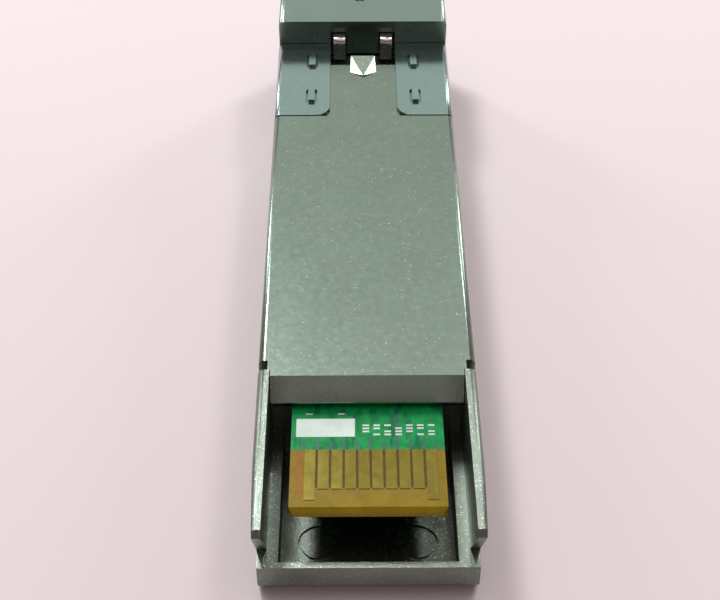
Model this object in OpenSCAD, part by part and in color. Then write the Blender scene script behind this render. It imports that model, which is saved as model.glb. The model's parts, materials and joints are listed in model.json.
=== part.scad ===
// Pluggable optical transceiver module with two fibre ports and a wire bail latch.
// It lies on its flat label side, latch side up. Lengths run along Y: the circuit board's
// edge contacts are at the low end (the rear) and the fibre ports at the high end (the nose).
// Inside the modules, Y is counted from the rear tips; rear_datum() centres the whole on Y = 0.

/* [Body] */
// Length from the rear tips to the front of the nose
module_length = 56.5; // [56:0.1:58]
// Width of the body
body_w = 13.3; // [13.2:0.05:13.5]
// Height of the body from the label side to the latch side
body_h = 8.5; // [8.4:0.05:8.6]
// Distance from the rear tips to the step that stops the module in its cage
stop_y = 47.5; // [47.4:0.05:47.6]
// Height of the nose
nose_h = 10.45; // [10.4:0.05:10.6]
// Width of the nose ahead of the step
nose_w = 13.2; // [13.1:0.05:13.4]
// Thickness of the cast floor
floor_t = 1.0; // [0.9:0.05:1.1]

/* [Circuit board] */
// Thickness of the circuit board
board_t = 1.0; // [0.95:0.05:1.05]
// Width of the board at its edge contacts
board_edge_w = 9.2; // [9.1:0.05:9.3]
// Distance from the latch side to the board's upper face
board_depth = 2.25; // [2.2:0.05:2.3]
// Distance from the rear tips to the board's edge
board_y = 3.3; // [3.2:0.05:3.3]
// Spacing of the edge contacts
contact_pitch = 0.8; // [0.8:0.01:0.82]
// Sideways offset of the contact rows from the middle of the board
contact_shift = 0.17; // [0:0.01:0.2]

/* [Fibre ports] */
// Distance between the two fibre axes
port_pitch = 6.25; // [6.2:0.05:6.3]
// Width and height of each square port
port_size = 4.7; // [4.6:0.05:4.8]
// Height of the fibre axes above the label side
port_z = 4.55; // [4.5:0.05:4.6]
// Radius of the sleeve bore that takes the ferrule
ferrule_bore_r = 0.63; // [0.63:0.005:0.64]

/* [Latch] */
// Height of the boss that catches the cage
boss_h = 0.45; // [0.4:0.05:0.5]
// Distance that the slider travels when the bail is opened
slider_travel = 1.2; // [1:0.05:1.2]
// Radius of the bail wire
wire_r = 0.4; // [0.35:0.01:0.4]

/* [Hidden] */
$fn = 48;

half_w = body_w / 2;
nose_half_w = nose_w / 2;
edge_r = 0.4;
gap = 0.05;

// Rear mouth: skirts above a ledge, with a rim across the end
wall_in_x = half_w - 0.7;
lead_in = 0.2;
lead_in_y = 5;
ledge_in_x = 5.27;
ledge_z = 3.25;
rim_y = 1.45;
skirt_foot_y = 2.8;
cover_y = 11.7;
wall_foot_y = 11.0;
wall_foot_r = 0.2;
skirt_end_y = 12.2;
notch_end_y = 12.95;
cavity_y = 13.4;
shell_top_z = 6.6;
inner_x = 5.85;
pin_mark_x = 2.97;
pin_mark_y = 4.78;
pin_mark_r = 1.29;

// Latch side
cover_t = 1.1;
cover_in_z = body_h - cover_t;
collar_t = 0.2;
plate_z = body_h - 0.04 - collar_t;
collar_y = 37.8;
tongue_half_w = 2.5;
lance_x = 3.93;
lance_ys = [collar_y + 2.55, collar_y + 7.15];
collar_corner_r = 1.1;
boss_y = 45.0;
boss_half_w = 1.0;
boss_l = 2.1;
recess_y = 44.4;
recess_half_w = 2.55;
recess_z = 7.35;

// Board
board_z = body_h - board_depth - board_t;
board_top_z = board_z + board_t;
board_corner_r = 0.35;
board_wide_w = 11.2;
board_wide_y = 17.2;
board_end_y = 36.2;
mask_y = 7.75;
contact_t = 0.04;
contact_w = 0.65;
contact_count = 10;
screw_ys = [15.0, 35.0];
post_r = 1.1;

// Optics, one pair of axes at each side of the middle
optic_x = port_pitch / 2;
can_y = 37.5;
can_end_y = 42.4;
barrel_end_y = 49.3;
sleeve_y = 44.6;
clamp_y = 45.3;
clamp_t = 0.9;

// Nose
frame_y = 48.4;
cheek_y = 53.9;
frame_bottom_z = 1.45;
frame_top_z = 7.45;
frame_half_w = 5.55;
nose_floor_z = 1.35;
guard_in_z = nose_h - 0.45;
guard_side_x = 5.85;

// Latch: the bail turns about the line (bail_y, bail_z) and its cranks push the slider
bail_y = 54.6;
bail_z = 8.3;
bail_arm_x = 6.35;
bail_bar_z = 0.55;
bend_r = 1.2;
crank_r = slider_travel / sqrt(2);
crank_y = bail_y + crank_r * cos(45);
crank_z = bail_z + crank_r * sin(45);
crank_in_x = 3.0;
crank_bend_x = 4.3;
slider_z = 8.8;
slider_t = 0.6;
slider_half_w = 3.7;
tine_x = 1.83;
tine_w = 0.95;
tine_y = 46.5;
tine_t = 0.45;
tine_bottom_z = 7.6;

// ---- helpers ----

// Moves the module from its rear datum so that the origin is below its middle
module rear_datum() {
  translate([0, -module_length / 2, 0])
    children();
}

// Box between two opposite corners
module block(low, high) {
  translate(low)
    cube(high - low);
}

// Box that is the same on both sides of the middle plane
module wide_block(half_x, y, z) {
  block([-half_x, y[0], z[0]], [half_x, y[1], z[1]]);
}

// The same piece on both sides of the middle plane
module both_sides() {
  children();
  mirror([1, 0, 0])
    children();
}

// Cylinder along Y
module rod_y(r, y, z = [0, 0]) {
  translate([z[0], y[0], z[1]])
    rotate([-90, 0, 0])
      cylinder(r = r, h = y[1] - y[0]);
}

// Cylinder along X
module rod_x(r, x, y, z) {
  translate([x[0], y, z])
    rotate([0, 90, 0])
      cylinder(r = r, h = x[1] - x[0]);
}

// Bar along Y whose four long edges are rounded
module rounded_bar(half_x, y, z, r) {
  translate([0, y[1], 0])
    rotate([90, 0, 0])
      linear_extrude(y[1] - y[0])
        union() {
          translate([-half_x + r, z[0]])
            square([2 * (half_x - r), z[1] - z[0]]);
          translate([-half_x, z[0] + r])
            square([2 * half_x, z[1] - z[0] - 2 * r]);
          for (x = [-1, 1], low = [0, 1])
            translate([x * (half_x - r), low == 1 ? z[0] + r : z[1] - r])
              circle(r = r);
        }
}

// Slab on a profile drawn in (Y, Z), between two values of X
module side_profile(points, x) {
  translate([x[0], 0, 0])
    rotate([90, 0, 90])
      linear_extrude(x[1] - x[0])
        polygon(points);
}

// Flat pill with its long direction along Y
module pill(w, l, h) {
  for (end = [-1, 1])
    translate([0, end * (l - w) / 2, 0])
      cylinder(d = w, h = h);
  translate([-w / 2, -(l - w) / 2, 0])
    cube([w, l - w, h]);
}

// Small chip part lying on the board's upper face, or under its lower face
module on_board(x, y, size, above = true) {
  translate([x - size[0] / 2, y - size[1] / 2, above ? board_top_z : board_z - size[2]])
    cube(size);
}

// ---- housing ----

// Skirts, ledges and rim, narrowing a little towards the rear tips
module rear_mouth() {
  difference() {
    intersection() {
      union() {
        both_sides() {
          side_profile([
            [skirt_foot_y, ledge_z - 0.1], [skirt_end_y, ledge_z - 0.1], [skirt_end_y, body_h],
            [0.35, body_h], [0, body_h - 0.35]
          ], [wall_in_x, half_w]);
          side_profile([
            [2.4, 0], [skirt_end_y, 0], [skirt_end_y, ledge_z], [rim_y, ledge_z], [rim_y, 1.5]
          ], [ledge_in_x, half_w]);
        }
        side_profile([
          [2.4, 0], [skirt_end_y, 0], [skirt_end_y, floor_t], [2.6, floor_t],
          [rim_y + 0.4, ledge_z], [rim_y, ledge_z], [rim_y, 1.5]
        ], [-ledge_in_x, ledge_in_x]);
      }
      rounded_bar(half_w, [-1, skirt_end_y], [0, body_h], edge_r);
    }
    both_sides()
      linear_extrude(body_h)
        polygon([
          [half_w - lead_in, 0], [half_w, lead_in_y], [half_w + 1, lead_in_y],
          [half_w + 1, -1], [half_w - lead_in, -1]
        ]);
  }
}

// Ring grooves left by the ejector pins in the floor of the mouth
module ejector_marks() {
  both_sides()
    translate([pin_mark_x, pin_mark_y, floor_t - 0.14])
      difference() {
        cylinder(r = pin_mark_r, h = 0.3);
        translate([0, 0, -1])
          cylinder(r = pin_mark_r - 0.18, h = 2);
      }
}

module top_housing() {
  rear_datum()
    color("#7f8b7d")
      difference() {
        union() {
          rear_mouth();
          // Channel that the cover closes, with a cross wall behind the mouth
          difference() {
            rounded_bar(half_w, [skirt_end_y, stop_y], [0, body_h], edge_r);
            wide_block(inner_x, [cavity_y, stop_y + 1], [floor_t, body_h]);
            wide_block(half_w, [skirt_end_y - 1, stop_y + 1], [shell_top_z, body_h + 1]);
            wide_block(inner_x, [skirt_end_y - 1, cavity_y], [board_z - 0.1, body_h]);
          }
          // Ledges under the wide part of the board
          both_sides()
            block([5.1, board_wide_y + 0.8, floor_t], [inner_x, board_end_y - 0.6, board_z]);
          // Tray of the nose
          difference() {
            rounded_bar(nose_half_w, [stop_y, cheek_y], [0, shell_top_z], edge_r);
            wide_block(frame_half_w + gap, [stop_y - 1, cheek_y + 1], [nose_floor_z, nose_h]);
          }
        }
        ejector_marks();
        // Seat of the shielding collar around three sides
        difference() {
          wide_block(half_w + 1, [collar_y, stop_y], [-1, body_h]);
          rounded_bar(half_w - collar_t - 0.02, [collar_y - 1, stop_y + 1], [collar_t + 0.02, nose_h], edge_r);
        }
        // Shallow seat of the label and the countersunk screw holes below it
        wide_block(4.7, [12.9, 36.9], [-1, 0.12]);
        for (y = screw_ys)
          translate([0, y, 0]) {
            cylinder(r = 0.75, h = 3);
            translate([0, 0, -0.6])
              cylinder(r1 = 2.1, r2 = 0.6, h = 1.5);
          }
      }
}

// Boss that catches the cage: a ramp that widens from a point to the shoulder, between two side facets
module boss() {
  point_y = boss_y - boss_l;
  hull() {
    wide_block(boss_half_w, [boss_y - boss_l * 0.75, boss_y], [body_h - 0.3, body_h]);
    wide_block(boss_half_w - 0.08, [boss_y - 0.02, boss_y], [body_h, body_h + boss_h]);
    wide_block(0.05, [point_y, point_y + 0.02], [body_h - 0.3, body_h + 0.1]);
  }
}

// Rear wall above the board, whose face slopes out to a rounded foot
module cover_rear_wall() {
  wall_x = wall_in_x - gap;
  foot_z = board_top_z + 0.3;
  hull() {
    wide_block(wall_x, [cover_y, skirt_end_y], [body_h - 0.02, body_h]);
    wide_block(wall_x, [wall_foot_y + 2 * wall_foot_r, skirt_end_y], [board_top_z + 0.2, body_h - 1]);
    rod_x(wall_foot_r, [-wall_x, wall_x], wall_foot_y + wall_foot_r, foot_z + wall_foot_r);
  }
}

// Held by two screws from the label side
module bottom_cover() {
  rear_datum()
    color("#87958a")
      difference() {
        union() {
          // Plate with rounded shoulders that come down over the housing's walls
          difference() {
            rounded_bar(half_w, [notch_end_y, stop_y - gap], [shell_top_z - 2, body_h], edge_r);
            wide_block(half_w + 1, [notch_end_y - 1, stop_y + 1], [0, shell_top_z + gap]);
            wide_block(inner_x, [notch_end_y + 0.6, stop_y + 1], [0, cover_in_z]);
          }
          // Narrower rear end between the skirts, with the wall above the board
          wide_block(6.07, [skirt_end_y, notch_end_y + 0.1], [cover_in_z, body_h]);
          cover_rear_wall();
          wide_block(inner_x - gap, [skirt_end_y, notch_end_y + 0.7], [board_top_z + 0.08, body_h]);
          // Thicker floor under the recess of the tines
          wide_block(3.4, [44.0, stop_y - gap], [6.85, cover_in_z]);
          // Screw posts that pass through the board
          for (y = screw_ys)
            translate([0, y, floor_t + 0.02])
              cylinder(r = post_r, h = cover_in_z - floor_t);
          boss();
        }
        // Seat of the collar plates
        difference() {
          wide_block(half_w + 1, [collar_y, stop_y], [0, nose_h]);
          rounded_bar(half_w - collar_t - 0.02, [collar_y - 1, stop_y + 1], [0, plate_z - 0.02], edge_r);
          wide_block(tongue_half_w, [collar_y - 1, stop_y + 1], [0, nose_h]);
        }
        // Recess that the slider's tines work in
        difference() {
          wide_block(recess_half_w, [recess_y, stop_y + 1], [recess_z, nose_h]);
          wide_block(boss_half_w, [recess_y, boss_y], [0, nose_h]);
        }
        for (y = screw_ys)
          translate([0, y, 0])
            cylinder(r = 0.72, h = 5.4);
      }
}

// Cast cap over the nose: its rear face is the step that stops the module
module nose_guard() {
  rear_datum()
    color("#7f9189")
      difference() {
        union() {
          difference() {
            rounded_bar(nose_half_w, [stop_y, module_length], [shell_top_z + gap, nose_h], edge_r);
            // Way for the slider, open at the front
            wide_block(guard_side_x - 1, [stop_y + 0.8, module_length + 1], [frame_top_z + gap, guard_in_z]);
            // Way for the fibre frame and for the bail's arms
            wide_block(frame_half_w + gap, [stop_y - 1, module_length + 1], [0, frame_top_z + gap]);
            both_sides()
              block([guard_side_x, cheek_y, 0], [nose_half_w + 1, module_length + 1, guard_in_z - 0.5]);
          }
          // Ledges that carry the slider
          both_sides()
            block([2.9, stop_y + 0.5, frame_top_z + gap], [guard_side_x - 0.5, 52.9, slider_z - 0.1]);
        }
        // Slots for the tines in the step
        both_sides()
          block([1.24, stop_y - 1, body_h - 0.9], [recess_half_w, stop_y + 1, slider_z + slider_t + 0.08]);
        // Bearings of the bail
        both_sides()
          rod_x(wire_r + 0.05, [4, nose_half_w + 1], bail_y, bail_z);
        // Small drilled mark on the latch side
        translate([-0.2, 50.75, nose_h - 0.2])
          cylinder(r = 0.4, h = 1);
      }
}

// One plate of the collar on the latch side, with its rounded inner corner
module collar_plate() {
  translate([0, 0, plate_z])
    linear_extrude(collar_t)
      union() {
        translate([tongue_half_w + 0.04, collar_y + collar_corner_r])
          square([half_w - tongue_half_w - edge_r, stop_y - collar_y - collar_corner_r - gap]);
        translate([tongue_half_w + 0.04 + collar_corner_r, collar_y + 0.2])
          square([half_w - tongue_half_w - edge_r - collar_corner_r, collar_corner_r]);
        translate([tongue_half_w + 0.04 + collar_corner_r, collar_y + 0.2 + collar_corner_r])
          circle(r = collar_corner_r);
      }
}

// Sheet-metal collar around the body behind the step
module emi_collar() {
  rear_datum()
    color("#8a9a97")
      union() {
        difference() {
          rounded_bar(half_w, [collar_y + 0.2, stop_y - gap], [0, plate_z + collar_t], edge_r);
          rounded_bar(half_w - collar_t, [collar_y - 1, stop_y + 1], [collar_t, plate_z], edge_r - 0.1);
          wide_block(half_w - edge_r, [collar_y - 1, stop_y + 1], [body_h / 2, body_h + 1]);
          // Relief slots between the contact fingers on the label side
          for (x = [-3.6, -1.2, 1.2, 3.6])
            translate([x, (collar_y + stop_y) / 2 + 0.6, -1])
              pill(0.5, 6.4, 2);
        }
        both_sides()
          difference() {
            collar_plate();
            for (y = lance_ys)
              translate([lance_x, y, 0])
                pill(0.86, 2.05, nose_h);
          }
        both_sides()
          for (y = lance_ys)
            translate([lance_x, y, 0])
              contact_tongue();
      }
}

// Pressed contact tongue, joined to the plate at its rear end and standing proud at the other
module contact_tongue() {
  difference() {
    union() {
      translate([0, 0, plate_z + 0.02])
        pill(0.5, 1.75, collar_t + 0.22);
      block([-0.25, -1.15, plate_z + 0.02], [0.25, 0, plate_z + collar_t]);
    }
    block([-1, -2, plate_z + collar_t], [1, -0.75, nose_h]);
  }
}

// ---- fibre ports and optics ----

// Plastic block with the two ports, their latch notches and the barrel holes
module lc_receptacle() {
  rear_datum()
    color("#2c3033")
      difference() {
        union() {
          wide_block(frame_half_w, [frame_y, cheek_y + 0.1], [frame_bottom_z, frame_top_z]);
          wide_block(guard_side_x - 0.05, [cheek_y + 0.05, module_length], [frame_bottom_z, shell_top_z]);
          wide_block(frame_half_w, [cheek_y + 0.05, module_length], [shell_top_z - 0.5, frame_top_z]);
        }
        for (side = [-1, 1])
          translate([side * optic_x, 0, port_z]) {
            block([-port_size / 2, frame_y + 1.1, -port_size / 2], [port_size / 2, module_length + 1, port_size / 2]);
            block([-1.6, frame_y + 1.9, -port_z], [1.6, module_length + 1, 0]);
            block([-2.1, module_length - 1.6, -port_z], [2.1, module_length + 1, -2.6]);
            rod_y(1.52, [frame_y - 1, module_length]);
          }
      }
}

// Parts of one optical subassembly, drawn about its own axis
module optic_axis(side) {
  rear_datum()
    translate([side * optic_x, 0, port_z])
      children();
}

module laser_can(side) {
  optic_axis(side)
    color("#b9a35c")
      union() {
        rod_y(2.7, [can_y, can_y + 1.1]);
        rod_y(2.35, [can_y + 1, can_end_y]);
        for (x = [-1, 1], z = [-1, 1])
          rod_y(0.2, [can_y - 0.25, can_y + 0.1], [0.9 * x, 0.9 * z]);
      }
}

module ferrule_barrel(side) {
  optic_axis(side)
    color("#b7bcc0")
      difference() {
        union() {
          rod_y(2.6, [can_end_y, can_end_y + 1.5]);
          rod_y(1.45, [can_end_y + 1, barrel_end_y]);
          rod_y(2.2, [clamp_y + clamp_t + 0.05, clamp_y + clamp_t + 0.85]);
        }
        rod_y(1.05, [sleeve_y - 0.3, barrel_end_y + 1]);
        rod_y(0.25, [can_end_y - 1, sleeve_y]);
      }
}

module ferrule_sleeve(side) {
  optic_axis(side)
    color("#f0efe8")
      difference() {
        rod_y(1.05, [sleeve_y - 0.3, barrel_end_y - 0.05]);
        rod_y(ferrule_bore_r, [sleeve_y, barrel_end_y + 1]);
        rod_y(0.25, [sleeve_y - 1, sleeve_y + 1]);
      }
}

// Flexible circuit from the pins of a can, round a bend, to one face of the board
module flex_strip(side, above) {
  t = 0.12;
  r = 0.5;
  face_z = above ? board_top_z : board_z - t;
  bend_z = above ? face_z + t - r : face_z + r;
  back_y = can_y - 0.4;
  end_z = above ? port_z - 2.2 : port_z + 2.2;
  rear_datum()
    color("#b0732c")
      translate([side * optic_x, 0, 0]) {
        block([-1.7, back_y, min(bend_z, end_z)], [1.7, back_y + t, max(bend_z, end_z)]);
        block([-1.7, 33.6, face_z], [1.7, back_y + t - r, face_z + t]);
        translate([-1.7, back_y + t - r, bend_z])
          rotate([90, 0, 90])
            rotate([0, 0, above ? 0 : -90])
              rotate_extrude_sector(r, t, 3.4);
      }
}

// Quarter of a ring with a square section, its axis along Z
module rotate_extrude_sector(r, t, h) {
  intersection() {
    difference() {
      cylinder(r = r, h = h);
      translate([0, 0, -1])
        cylinder(r = r - t, h = h + 2);
    }
    cube([r + 1, r + 1, h]);
  }
}

module transmitter_can() { laser_can(-1); }
module transmitter_barrel() { ferrule_barrel(-1); }
module transmitter_sleeve() { ferrule_sleeve(-1); }
module transmitter_flex() { flex_strip(-1, true); }
module receiver_can() { laser_can(1); }
module receiver_barrel() { ferrule_barrel(1); }
module receiver_sleeve() { ferrule_sleeve(1); }
module receiver_flex() { flex_strip(1, true); }

// Yoke that holds both barrels behind their flanges
module optics_clamp() {
  rear_datum()
    color("#4a4d50")
      difference() {
        wide_block(5.6, [clamp_y, clamp_y + clamp_t], [floor_t + 0.02, 6.8]);
        for (side = [-1, 1])
          rod_y(1.5, [clamp_y - 1, clamp_y + 2], [side * optic_x, port_z]);
      }
}

// ---- board and electronics ----

// Narrow edge with two rounded corners, and the wide part behind it
module board_outline() {
  half_edge = board_edge_w / 2;
  for (x = [-1, 1])
    translate([x * (half_edge - board_corner_r), board_y + board_corner_r])
      circle(r = board_corner_r);
  translate([-half_edge, board_y + board_corner_r])
    square([board_edge_w, board_wide_y - board_y]);
  translate([-half_edge + board_corner_r, board_y])
    square([board_edge_w - 2 * board_corner_r, 2 * board_corner_r]);
  translate([-board_wide_w / 2, board_wide_y])
    square([board_wide_w, board_end_y - board_wide_y]);
}

module circuit_board() {
  rear_datum()
    color("#1f7a4d")
      difference() {
        translate([0, 0, board_z])
          linear_extrude(board_t)
            board_outline();
        // Bevels that guide the edge into its connector
        side_profile([
          [board_y - 1, board_top_z + 1], [board_y - 1, board_top_z - 0.25], [board_y, board_top_z - 0.25],
          [board_y + 0.25, board_top_z], [board_y + 0.25, board_top_z + 1]
        ], [-half_w, half_w]);
        side_profile([
          [board_y - 1, board_z - 1], [board_y - 1, board_z + 0.4], [board_y, board_z + 0.4],
          [board_y + 0.4, board_z], [board_y + 0.4, board_z - 1]
        ], [-half_w, half_w]);
        for (y = screw_ys)
          translate([0, y, 0])
            cylinder(r = post_r + 0.25, h = body_h);
      }
}

// Ten edge contacts: the outer ones reach nearer to the board's edge
module contact_row(z) {
  rear_datum()
    color("#b09a3c")
      for (i = [0:contact_count - 1]) {
        outer = i == 0 || i == contact_count - 1;
        front_y = board_y + (outer ? 0.74 : 1.53);
        middle_x = contact_shift + (i - (contact_count - 1) / 2) * contact_pitch;
        translate([middle_x - contact_w / 2, front_y, z])
          cube([contact_w, mask_y - front_y, contact_t]);
      }
}

module contacts_latch_side() { contact_row(board_top_z); }
module contacts_label_side() { contact_row(board_z - contact_t); }

module controller_chip() {
  rear_datum()
    color("#1d1f21")
      on_board(-0.2, 21.6, [5, 5, 0.85]);
}

module laser_driver_chip() {
  rear_datum()
    color("#1d1f21")
      on_board(-optic_x, 29.6, [3, 3, 0.75]);
}

module receiver_amplifier_chip() {
  rear_datum()
    color("#1d1f21")
      on_board(optic_x, 29.6, [3, 3, 0.75]);
}

module memory_chip() {
  rear_datum()
    color("#1d1f21")
      on_board(-2.2, 24, [3, 2, 0.6], false);
}

module chip_capacitors() {
  rear_datum()
    color("#a88f6a")
      for (side = [-1, 1]) {
        for (i = [0:3])
          on_board(side * 4.4, 19 + 1.7 * i, [1, 0.5, 0.5]);
        for (i = [0:1])
          on_board(side * 3.1, 14.6 + 1.3 * i, [1, 0.5, 0.5], false);
      }
}

module chip_resistors() {
  rear_datum()
    color("#2b2b2e")
      for (side = [-1, 1], i = [0:3])
        on_board(side * (1.6 + 1.1 * (i % 2)), 26.2 + 0.9 * floor(i / 2), [0.5, 1, 0.35], i < 2);
}

module power_inductors() {
  rear_datum()
    color("#3c3c40")
      for (y = [20, 23.5])
        on_board(2.6, y, [2.5, 2, 1.2], false);
}

// Soft pad that carries the laser driver's heat to the cover
module thermal_pad() {
  rear_datum()
    color("#8fa7c4")
      block([-optic_x - 1.4, 28.2, board_top_z + 0.75], [-optic_x + 1.4, 31.0, cover_in_z]);
}

// ---- fasteners and label ----

// Flat-head screws that pull the cover down onto the housing
module cover_screws() {
  rear_datum()
    color("#8f9396")
      for (y = screw_ys)
        translate([0, y, 0.15])
          difference() {
            union() {
              cylinder(r1 = 1.3, r2 = 0.6, h = 0.7);
              cylinder(r = 0.6, h = 4.8);
            }
            for (turn = [0, 90])
              rotate(turn)
                block([-0.8, -0.15, -1], [0.8, 0.15, 0.3]);
          }
}

module blank_label() {
  rear_datum()
    color("#d9dad6")
      wide_block(4.6, [13, 36.8], [0.03, 0.11]);
}

// ---- latch ----

// Flat slider whose side notches hold the bail's cranks and whose tines reach into the recess
module latch_slider() {
  slider_front_y = crank_y + wire_r + 0.15 + 0.45;
  rear_datum()
    color("#9a9fa2")
      difference() {
        union() {
          wide_block(slider_half_w, [50.0, slider_front_y], [slider_z, slider_z + slider_t]);
          both_sides() {
            block([tine_x - tine_w / 2, tine_y + tine_t, slider_z],
              [tine_x + tine_w / 2, 50.1, slider_z + slider_t]);
            block([tine_x - tine_w / 2, tine_y, tine_bottom_z],
              [tine_x + tine_w / 2, tine_y + tine_t, slider_z + slider_t - tine_t]);
            // Rounded bend between the tine and its arm
            intersection() {
              rod_x(tine_t, [tine_x - tine_w / 2, tine_x + tine_w / 2],
                tine_y + tine_t, slider_z + slider_t - tine_t);
              block([0, tine_y, slider_z + slider_t - tine_t], [4, tine_y + tine_t, slider_z + slider_t]);
            }
          }
        }
        both_sides()
          block([crank_in_x - 0.2, crank_y - wire_r - 0.15, slider_z - 1],
            [slider_half_w + 1, crank_y + wire_r + 0.15, slider_z + 2]);
      }
}

// One bent end of the bail: arm, bearing pin and crank, on the side of positive X
module bail_side() {
  bar_bend_z = bail_bar_z + bend_r;
  translate([bail_arm_x, bail_y, bar_bend_z])
    cylinder(r = wire_r, h = bail_z - bar_bend_z);
  translate([bail_arm_x, bail_y, bail_z])
    sphere(r = wire_r);
  rod_x(wire_r, [crank_bend_x, bail_arm_x], bail_y, bail_z);
  for (y_z = [[bail_y, bail_z], [crank_y, crank_z]])
    translate([crank_bend_x, y_z[0], y_z[1]])
      sphere(r = wire_r);
  translate([crank_bend_x, bail_y, bail_z])
    rotate([-45, 0, 0])
      cylinder(r = wire_r, h = crank_r);
  rod_x(wire_r, [crank_in_x, crank_bend_x], crank_y, crank_z);
  // Bend from the arm to the bar
  translate([bail_arm_x - bend_r, bail_y, bar_bend_z])
    rotate([90, 0, 0])
      rotate([0, 0, -90])
        rotate_extrude(angle = 90)
          translate([bend_r, 0])
            circle(r = wire_r);
}

module bail_wire() {
  rear_datum()
    color("#a9adb0")
      union() {
        both_sides()
          bail_side();
        rod_x(wire_r, [-bail_arm_x + bend_r, bail_arm_x - bend_r], bail_y, bail_bar_z);
      }
}

// Plastic grip moulded on the bail's bar
module bail_grip() {
  rear_datum()
    color("#26282b")
      difference() {
        rounded_bar(4.6, [bail_y - 0.55, 56.3], [0.1, 1.05], 0.3);
        rod_x(wire_r + 0.01, [-7, 7], bail_y, bail_bar_z);
      }
}

top_housing();
bottom_cover();
nose_guard();
emi_collar();
lc_receptacle();
circuit_board();
contacts_latch_side();
contacts_label_side();
controller_chip();
laser_driver_chip();
receiver_amplifier_chip();
memory_chip();
chip_capacitors();
chip_resistors();
power_inductors();
thermal_pad();
transmitter_can();
transmitter_barrel();
transmitter_sleeve();
transmitter_flex();
receiver_can();
receiver_barrel();
receiver_sleeve();
receiver_flex();
optics_clamp();
cover_screws();
blank_label();
latch_slider();
bail_wire();
bail_grip();
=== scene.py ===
"""Optical transceiver module, lying label side down with its edge contacts towards the camera."""

import json
import math

import bmesh
import bpy
from mathutils import Euler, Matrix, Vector


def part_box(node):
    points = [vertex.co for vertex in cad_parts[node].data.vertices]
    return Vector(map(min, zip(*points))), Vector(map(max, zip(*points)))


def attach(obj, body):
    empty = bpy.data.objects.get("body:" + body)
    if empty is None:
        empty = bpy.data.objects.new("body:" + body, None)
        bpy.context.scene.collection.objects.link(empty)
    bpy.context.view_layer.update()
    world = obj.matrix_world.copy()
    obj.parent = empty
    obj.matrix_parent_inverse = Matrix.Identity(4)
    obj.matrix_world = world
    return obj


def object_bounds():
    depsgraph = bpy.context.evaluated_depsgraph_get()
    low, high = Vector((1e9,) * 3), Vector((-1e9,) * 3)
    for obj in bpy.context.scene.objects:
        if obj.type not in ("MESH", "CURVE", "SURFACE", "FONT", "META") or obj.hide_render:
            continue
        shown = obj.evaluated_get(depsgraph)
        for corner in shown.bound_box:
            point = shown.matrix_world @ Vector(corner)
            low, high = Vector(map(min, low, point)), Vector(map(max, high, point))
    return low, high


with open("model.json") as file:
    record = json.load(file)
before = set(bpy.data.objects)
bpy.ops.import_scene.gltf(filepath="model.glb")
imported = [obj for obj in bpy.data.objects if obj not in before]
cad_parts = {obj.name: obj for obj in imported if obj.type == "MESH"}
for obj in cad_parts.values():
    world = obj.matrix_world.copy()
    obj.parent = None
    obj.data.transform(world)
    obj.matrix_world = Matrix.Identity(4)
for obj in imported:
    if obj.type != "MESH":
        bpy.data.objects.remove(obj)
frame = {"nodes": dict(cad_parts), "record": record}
cad_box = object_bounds()
MM = 0.001


# ---- materials ----

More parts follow.
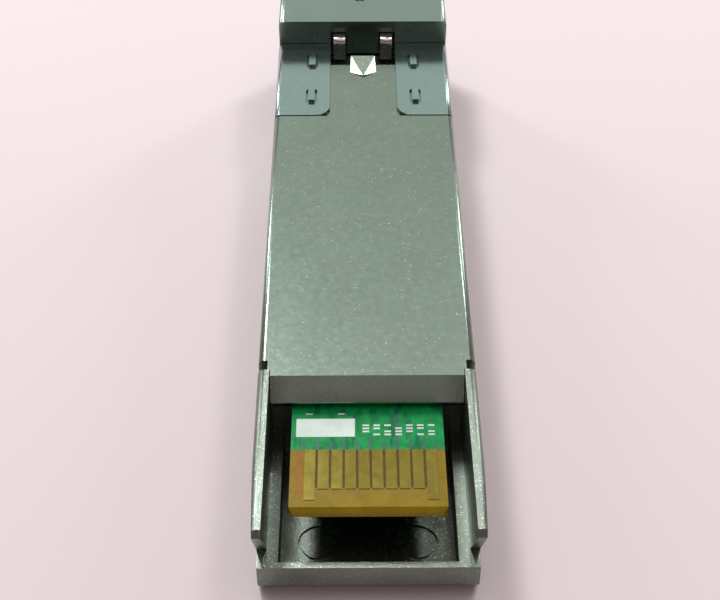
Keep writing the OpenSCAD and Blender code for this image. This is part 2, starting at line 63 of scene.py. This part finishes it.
class Surface:
    """A material under construction: a call adds the nodes for one pattern or sum and returns their output."""

    def __init__(self, name):
        self.material = bpy.data.materials.new(name)
        self.material.use_nodes = True
        self.tree = self.material.node_tree
        self.shader = self.tree.nodes["Principled BSDF"]
        self.place = self.tree.nodes.new("ShaderNodeTexCoord").outputs["Object"]
        self.axes = self.add("ShaderNodeSeparateXYZ", {"Vector": self.place}).outputs

    def add(self, kind, inputs=None, **settings):
        """One new node, with its sockets and settings filled in."""
        node = self.tree.nodes.new(kind)
        for key, value in settings.items():
            setattr(node, key, value)
        for key, value in (inputs or {}).items():
            self.wire(node.inputs[key], value)
        return node

    def wire(self, socket, value):
        if isinstance(value, bpy.types.NodeSocket):
            self.tree.links.new(value, socket)
        else:
            socket.default_value = value

    def facing_up(self, on_walls):
        """1 on faces that look towards +Z, and on_walls on the others."""
        normal = self.add("ShaderNodeTexCoord").outputs["Normal"]
        up = self.add("ShaderNodeSeparateXYZ", {"Vector": normal}).outputs["Z"]
        return self.ramp(up, 0.75, 0.95, on_walls)

    def math(self, operation, a, b=0.0):
        return self.add("ShaderNodeMath", {0: a, 1: b}, operation=operation).outputs[0]

    def vector_math(self, operation, inputs):
        return self.add("ShaderNodeVectorMath", inputs, operation=operation).outputs[0]

    def noise(self, size_mm, detail=3.0, stretch=(1, 1, 1)):
        """Noise whose features are about size_mm across."""
        where = self.vector_math("MULTIPLY", {0: self.place, 1: stretch})
        inputs = {"Vector": where, "Scale": 1 / (size_mm * MM), "Detail": detail, "Roughness": 0.55}
        return self.add("ShaderNodeTexNoise", inputs).outputs["Fac"]

    def cells(self, size_mm):
        """A random colour for each cell of about size_mm."""
        inputs = {"Vector": self.place, "Scale": 1 / (size_mm * MM)}
        return self.add("ShaderNodeTexVoronoi", inputs).outputs["Color"]

    def ramp(self, value, low, high, out_low=0.0, out_high=1.0):
        inputs = {"Value": value, "From Min": low, "From Max": high, "To Min": out_low, "To Max": out_high}
        return self.add("ShaderNodeMapRange", inputs, clamp=True).outputs["Result"]

    def band(self, axis, low_mm, high_mm, soft_mm=0.02):
        """1 between two values of X, Y or Z, and 0 outside."""
        value = self.axes["XYZ".index(axis)]
        rise = self.ramp(value, (low_mm - soft_mm) * MM, (low_mm + soft_mm) * MM)
        fall = self.ramp(value, (high_mm - soft_mm) * MM, (high_mm + soft_mm) * MM, 1.0, 0.0)
        return self.math("MULTIPLY", rise, fall)

    def patch(self, x_mm, y_mm, soft_mm=0.02):
        """1 inside a rectangle seen from above."""
        return self.math("MULTIPLY", self.band("X", *x_mm, soft_mm), self.band("Y", *y_mm, soft_mm))

    def mix(self, factor, a, b):
        node = self.add("ShaderNodeMix", data_type="RGBA")
        self.wire(node.inputs[0], factor)
        self.wire(node.inputs[6], a)
        self.wire(node.inputs[7], b)
        return node.outputs[2]

    def bump(self, height, depth_mm):
        inputs = {"Height": height, "Strength": 1.0, "Distance": depth_mm * MM}
        return self.add("ShaderNodeBump", inputs).outputs["Normal"]

    def lean(self, normal, colour, amount):
        """The normal, leaning by a random colour."""
        offset = self.vector_math("SUBTRACT", {0: colour, 1: (0.5, 0.5, 0.5)})
        offset = self.vector_math("SCALE", {0: offset, "Scale": amount})
        return self.vector_math("NORMALIZE", {0: self.vector_math("ADD", {0: normal, 1: offset})})

    def finish(self, **inputs):
        names = {"colour": "Base Color", "rough": "Roughness", "metal": "Metallic", "normal": "Normal",
                 "coat": "Coat Weight", "ior": "IOR", "subsurface": "Subsurface Weight"}
        for key, value in inputs.items():
            self.wire(self.shader.inputs[names[key]], value)
        return self.material


def rgb(red, green, blue):
    """A colour given as it looks on a screen, 0 to 255."""
    def linear(c):
        c /= 255
        return c / 12.92 if c <= 0.04045 else ((c + 0.055) / 1.055) ** 2.4
    return (linear(red), linear(green), linear(blue), 1.0)


def shade(colour, factor):
    return tuple(c * factor for c in colour[:3]) + (1.0,)


def plated_metal(name, colour, rough, grain_mm, grain_depth_mm, sparkle=0.0, smudge=0.12, tilt=0.09,
                 wall_sparkle=0.0):
    """Nickel-like plate over a casting or sheet: grain, slow colour changes and smudges.

    sparkle is the share of grains that glint, each painted near-white into the colour (a painted glint), tilt
    is how far they lean, and wall_sparkle is how strongly the painted glint shows on faces that don't look up.
    """
    glint_mm = 0.07
    s = Surface(name)
    slow = s.noise(4.0, 3.0)
    fine = s.noise(grain_mm, 4.0)
    tone = s.mix(s.ramp(slow, 0.35, 0.65), shade(colour, 1 - smudge), shade(colour, 1 + smudge))
    tone = s.mix(s.ramp(fine, 0.45, 0.75, 0.0, 0.3), tone, shade(colour, 0.7))
    roughness = s.math("ADD", s.ramp(s.noise(0.5, 4.0), 0.3, 0.7, -0.02, 0.03), rough)
    normal = s.bump(fine, grain_depth_mm)
    if sparkle:
        grain = s.cells(glint_mm)
        pick = s.add("ShaderNodeSeparateColor", {"Color": grain}).outputs["Red"]
        # Painted glint: the picked grains are mixed towards near-white in the colour, more strongly on faces
        # that look up
        bright = s.ramp(pick, 1 - sparkle, 1.0, 0.0, 0.7)
        bright = s.math("MULTIPLY", bright, s.facing_up(wall_sparkle))
        tone = s.mix(bright, tone, rgb(226, 232, 216))
        normal = s.lean(normal, grain, tilt)
    return s.finish(colour=tone, rough=roughness, metal=1.0, normal=normal)


def drawn_metal(name, colour, rough):
    """Bright wire or turned metal with fine lines along X."""
    s = Surface(name)
    lines = s.noise(0.05, 3.0, (0.04, 1, 1))
    slow = s.noise(2.5, 2.0)
    tone = s.mix(s.ramp(slow, 0.3, 0.7), shade(colour, 0.88), shade(colour, 1.1))
    roughness = s.ramp(lines, 0.3, 0.7, rough - 0.07, rough + 0.09)
    return s.finish(colour=tone, rough=roughness, metal=1.0, normal=s.bump(lines, 0.004))


def moulded(name, colour, rough, grain_mm=0.12, depth_mm=0.006, coat=0.0, subsurface=0.0):
    """Moulded plastic, epoxy or ceramic with a fine mould texture and faint marks."""
    s = Surface(name)
    grain = s.noise(grain_mm, 3.0)
    slow = s.noise(3.0, 3.0)
    tone = s.mix(s.ramp(slow, 0.3, 0.7), shade(colour, 0.85), shade(colour, 1.15))
    roughness = s.ramp(s.noise(0.9, 4.0), 0.3, 0.7, rough - 0.07, rough + 0.08)
    return s.finish(colour=tone, rough=roughness, normal=s.bump(grain, depth_mm), coat=coat,
                    subsurface=subsurface)


def board_material():
    """Green solder mask with copper under it, and bare olive laminate round the edge contacts, with painted
    shade between the pads and a painted orange reflection left of the first pad.
    """
    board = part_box("circuit_board")
    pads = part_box("contacts_latch_side")
    front_y = board[0].y / MM
    short_pads_y = front_y + 1.63
    mask_y = pads[1].y / MM
    left_x = pads[0].x / MM
    right_x = pads[1].x / MM
    s = Surface("board")
    weave = s.noise(0.35, 2.0)
    laminate = s.mix(s.ramp(s.noise(1.2, 3.0), 0.35, 0.65), rgb(134, 114, 12), rgb(146, 124, 20))
    # Painted reflection: an orange strip along the left of the first pad
    painted_reflection_strip = s.patch((left_x - 0.5, left_x - 0.08), (front_y + 0.9, mask_y), 0.1)
    laminate = s.mix(s.math("MULTIPLY", painted_reflection_strip, 0.8), laminate, rgb(158, 104, 30))
    # Painted shade: the laminate in the gaps between the pads is darkened as if shadowed
    painted_shade_between_pads = s.patch((left_x, right_x), (short_pads_y, mask_y))
    laminate = s.mix(painted_shade_between_pads, laminate, rgb(84, 74, 18))
    below_pads = s.patch((left_x + 0.75, right_x - 0.75), (front_y + 1.2, front_y + 1.5), 0.1)
    worn = s.math("MULTIPLY", below_pads, s.ramp(s.noise(0.4), 0.4, 0.6, 0.2, 0.8))
    laminate = s.mix(worn, laminate, rgb(140, 112, 56))
    green = s.mix(s.ramp(s.noise(0.9, 3.0), 0.35, 0.65), rgb(8, 138, 66), rgb(20, 168, 90))
    copper = s.ramp(s.noise(0.5, 1.0, (1, 0.3, 1)), 0.56, 0.6, 0.0, 0.55)
    green = s.mix(copper, green, rgb(8, 92, 70))
    in_mask = s.band("Y", mask_y, 40)
    tone = s.mix(in_mask, laminate, green)
    height = s.math("ADD", s.math("MULTIPLY", weave, 0.4), s.math("MULTIPLY", in_mask, 2.0))
    return s.finish(colour=tone, rough=s.ramp(weave, 0.3, 0.7, 0.22, 0.34), normal=s.bump(height, 0.008),
                    ior=1.3)


def label_material():
    """Blank label stock with a printed border."""
    low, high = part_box("blank_label")
    s = Surface("label_film")

    def inset(margin_mm):
        return s.patch((low.x / MM + margin_mm, high.x / MM - margin_mm),
                       (low.y / MM + margin_mm, high.y / MM - margin_mm))

    edge = s.math("SUBTRACT", inset(0.35), inset(0.5))
    fibre = s.noise(0.2, 3.0)
    stock = s.mix(fibre, rgb(214, 215, 208), rgb(232, 232, 226))
    return s.finish(colour=s.mix(edge, stock, rgb(120, 124, 126)), rough=0.45, normal=s.bump(fibre, 0.003))


SLOTS = {
    "cast_housing": plated_metal("cast_housing", rgb(122, 132, 122), 0.33, 0.13, 0.02, sparkle=0.08,
                                 smudge=0.1, wall_sparkle=0.4),
    "cast_cover": plated_metal("cast_cover", rgb(136, 152, 139), 0.25, 0.08, 0.0015, sparkle=0.012,
                               smudge=0.03, tilt=0.03),
    "plated_nose": plated_metal("plated_nose", rgb(142, 160, 152), 0.22, 0.07, 0.0015, smudge=0.03),
    "collar_sheet": plated_metal("collar_sheet", rgb(156, 178, 173), 0.17, 0.2, 0.0004, smudge=0.02),
    "port_plastic": moulded("port_plastic", rgb(44, 47, 50), 0.5),
    "board": board_material(),
    "gold_contacts": plated_metal("gold_contacts", rgb(130, 118, 54), 0.24, 0.1, 0.0015, smudge=0.05),
    "chip_black": moulded("chip_black", rgb(32, 33, 36), 0.55),
    "chip_ceramic": moulded("chip_ceramic", rgb(168, 140, 106), 0.5),
    "soft_pad": moulded("soft_pad", rgb(140, 164, 192), 0.7),
    "gold_can": plated_metal("gold_can", rgb(214, 190, 120), 0.25, 0.2, 0.003, smudge=0.05),
    "turned_steel": drawn_metal("turned_steel", rgb(190, 194, 198), 0.27),
    "white_ceramic": moulded("white_ceramic", rgb(240, 238, 228), 0.2, coat=0.5, subsurface=0.1),
    "flex_film": moulded("flex_film", rgb(176, 112, 44), 0.3, coat=0.4),
    "label_film": label_material(),
    "latch_steel": drawn_metal("latch_steel", rgb(186, 184, 180), 0.22),
    "grip_plastic": moulded("grip_plastic", rgb(36, 37, 40), 0.55, 0.2, 0.012),
}
for part in frame["record"]["subparts"]:
    node = frame["nodes"][part["node"]]
    node.data.materials.clear()
    node.data.materials.append(SLOTS[part["material_slot"]])


# ---- softened edges on the CAD pieces ----

EDGE_MM = {
    "top_housing": 0.07, "bottom_cover": 0.06, "nose_guard": 0.07, "emi_collar": 0.03,
    "lc_receptacle": 0.06, "circuit_board": 0.03, "controller_chip": 0.05, "laser_driver_chip": 0.05,
    "receiver_amplifier_chip": 0.05, "memory_chip": 0.04, "chip_capacitors": 0.04, "power_inductors": 0.08,
    "transmitter_barrel": 0.05, "receiver_barrel": 0.05, "transmitter_can": 0.06, "receiver_can": 0.06,
    "latch_slider": 0.05, "optics_clamp": 0.05,
}
for name, width in EDGE_MM.items():
    node = frame["nodes"][name]
    weld = node.modifiers.new("weld", "WELD")
    weld.merge_threshold = 1e-6
    bevel = node.modifiers.new("edge", "BEVEL")
    bevel.width = width * MM
    bevel.segments = 2
    bevel.limit_method = "ANGLE"
    bevel.angle_limit = math.radians(35)
    bevel.harden_normals = True


# ---- camera ----

def make_camera():
    """The photograph's camera: behind and above the edge contacts, looking down along the module."""
    data = bpy.data.cameras.new("camera")
    data.sensor_width = 36
    data.lens = 67.15
    data.clip_start = 0.005
    camera = bpy.data.objects.new("camera", data)
    rear_y = cad_box[0].y / MM
    camera.location = Vector((-0.78, rear_y - 43.2, 68.6)) * MM
    down = math.radians(44.38)
    turned = math.radians(-0.36)
    camera.rotation_euler = Euler((math.pi / 2 - down, 0, turned))
    bpy.context.collection.objects.link(camera)
    bpy.context.scene.camera = camera


make_camera()


# ---- floor and light ----

def make_floor():
    """A pale plane just under the part, so that the part's flat underside doesn't lie in it."""
    mesh = bpy.data.meshes.new("floor")
    half = 2.0
    below = -0.02 * MM
    corners = [(-half, -half, below), (half, -half, below), (half, half, below), (-half, half, below)]
    mesh.from_pydata(corners, [], [(0, 1, 2, 3)])
    floor = bpy.data.objects.new("floor", mesh)
    s = Surface("floor")
    mesh.materials.append(s.finish(colour=rgb(222, 213, 214), rough=0.75))
    bpy.context.collection.objects.link(floor)


def area_light(name, place_mm, aim_mm, size_mm, power, colour=(1, 1, 1)):
    data = bpy.data.lights.new(name, "AREA")
    data.shape = "RECTANGLE"
    data.size = size_mm[0] * MM
    data.size_y = size_mm[1] * MM
    data.energy = power
    data.color = colour
    light = bpy.data.objects.new(name, data)
    light.location = Vector(place_mm) * MM
    aim = Vector(aim_mm) * MM - light.location
    light.rotation_euler = aim.to_track_quat("-Z", "Y").to_euler()
    bpy.context.collection.objects.link(light)


def make_world():
    """A dim room with a bright band above its horizon and a soft overhead."""
    tint = (1.0, 0.82, 0.83)
    # Brightness at each height, where a height is the sine of the angle above the horizon
    levels = {0.1: 0.1, 0.16: 0.42, 0.42: 0.42, 0.52: 0.1, 0.8: 0.1, 0.95: 1.0}
    world = bpy.data.worlds.new("studio")
    world.use_nodes = True
    tree = world.node_tree
    direction = tree.nodes.new("ShaderNodeSeparateXYZ")
    tree.links.new(tree.nodes.new("ShaderNodeTexCoord").outputs["Generated"], direction.inputs["Vector"])
    sky = tree.nodes.new("ShaderNodeValToRGB")
    stops = sky.color_ramp.elements
    stops.remove(stops[1])
    for height, level in levels.items():
        stops.new(height).color = tuple(c * level for c in tint) + (1.0,)
    stops.remove(stops[0])
    tree.links.new(direction.outputs["Z"], sky.inputs["Fac"])
    background = tree.nodes["Background"]
    background.inputs["Strength"].default_value = 1.3
    tree.links.new(sky.outputs["Color"], background.inputs["Color"])
    bpy.context.scene.world = world


def make_light():
    """A broad panel beyond the nose, a key, a weaker light to its right, and one for each side's edges."""
    area_light("back", (0, 300, 230), (0, 0, 0), (420, 240), 0.2, (0.92, 1.0, 0.95))
    area_light("key", (-85, 150, 300), (0, -10, 0), (60, 60), 0.5)
    area_light("right", (105, 170, 300), (0, 0, 0), (50, 50), 0.2)
    for side in (-1, 1):
        area_light("edge", (side * 200, 235, 130), (0, 0, 0), (50, 120), 0.22, (0.94, 0.97, 1.0))


make_floor()
make_world()
make_light()
# Colours come out as rgb() gives them
bpy.context.scene.view_settings.view_transform = "Standard"


# ---- print on the board ----

def flat_piece(name, boxes, material):
    """Thin printed or etched shapes: boxes of (x0, y0, x1, y1, z0, z1) in millimetres."""
    mesh = bpy.data.meshes.new(name)
    made = bmesh.new()
    for x0, y0, x1, y1, z0, z1 in boxes:
        corners = bmesh.ops.create_cube(made, size=1.0)["verts"]
        for v in corners:
            v.co.x = (x0 + (v.co.x + 0.5) * (x1 - x0)) * MM
            v.co.y = (y0 + (v.co.y + 0.5) * (y1 - y0)) * MM
            v.co.z = (z0 + (v.co.z + 0.5) * (z1 - z0)) * MM
    made.to_mesh(mesh)
    made.free()
    mesh.materials.append(material)
    piece = bpy.data.objects.new(name, mesh)
    bpy.context.collection.objects.link(piece)
    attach(piece, "module")


def make_board_print():
    """White print beside the contacts (a block, two ticks, plain marks), and traces under the mask."""
    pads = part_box("contacts_latch_side")
    mask_y = pads[1].y / MM
    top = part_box("circuit_board")[1].z / MM
    middle_x = (pads[0].x + pads[1].x) / 2 / MM
    ink = moulded("white_ink", rgb(216, 240, 228), 0.5, 0.1, 0.004)
    ink_top = top + 0.018
    block = [(-4.3, mask_y + 1.0, -0.76, mask_y + 2.42, top, top + 0.02)]
    ticks = [(x, mask_y + 2.75, x + 0.42, mask_y + 2.85, top, ink_top) for x in (-3.75, -1.8)]
    marks = []
    for i in range(7):
        x = -0.3 + 0.66 * i
        for j in range(4):
            if (3 * i + 5 * j) % 4:
                y = mask_y + 1.1 + 0.24 * j
                marks.append((x, y, x + 0.4, y + 0.13, top, ink_top))
    flat_piece("board_white_print", block + ticks + marks, ink)

    copper = moulded("masked_copper", rgb(10, 110, 82), 0.3, 0.2, 0.003, coat=0.3)
    pitch = 0.8
    half_width = 0.11
    traces = []
    for i in range(11):
        x = middle_x + (i - 5) * pitch
        length = (0.75, 0.95, 0.6, 3.2)[i % 4]
        traces.append((x - half_width, mask_y, x + half_width, mask_y + length, top, top + 0.008))
    flat_piece("board_masked_traces", traces, copper)


make_board_print()
